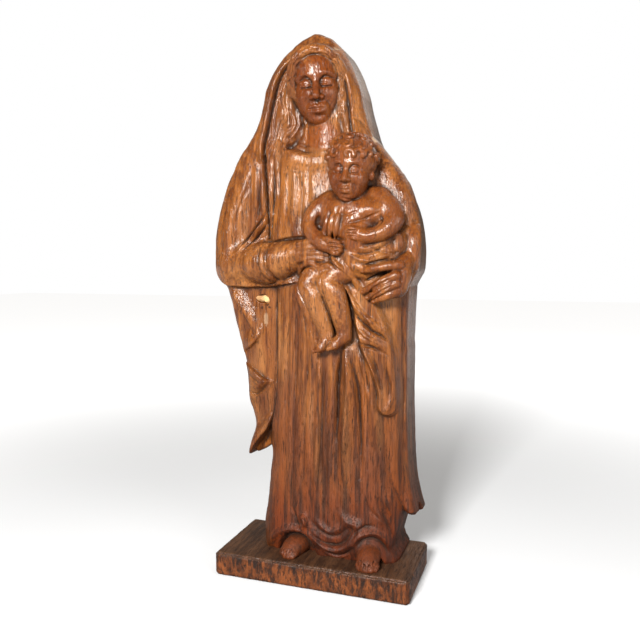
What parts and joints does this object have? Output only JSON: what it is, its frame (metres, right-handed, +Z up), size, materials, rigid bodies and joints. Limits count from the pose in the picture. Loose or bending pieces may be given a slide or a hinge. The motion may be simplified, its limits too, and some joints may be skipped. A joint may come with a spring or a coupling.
{
  "type": "madonna statue",
  "caption": "Carved oak statue of a veiled mother holding a child on her arm, flat at the back and standing on a separate rectangular plinth board.",
  "frame": {"origin": "centre of the plinth's underside", "axes": "+Z up along the figure, the figure faces -Y, +X is the viewer's right when looking at its face"},
  "size_m": [0.181, 0.08, 0.446],
  "materials": {
    "carved_oak": "oiled and waxed oak with a vertical grain, semi-gloss",
    "plinth_oak": "dark oiled oak board, semi-gloss",
    "dowel_beech": "raw turned beech",
    "screw_steel": "plain steel wood screw",
    "wood_filler": "pale matt wood filler, sanded"
  },
  "bodies": {
    "root": {"carved_figure": "carved_oak", "plinth": "plinth_oak", "dowel_left": "dowel_beech", "dowel_right": "dowel_beech", "screw_left": "screw_steel", "screw_right": "screw_steel", "filler_patch": "wood_filler"}
  },
  "joints": []
}
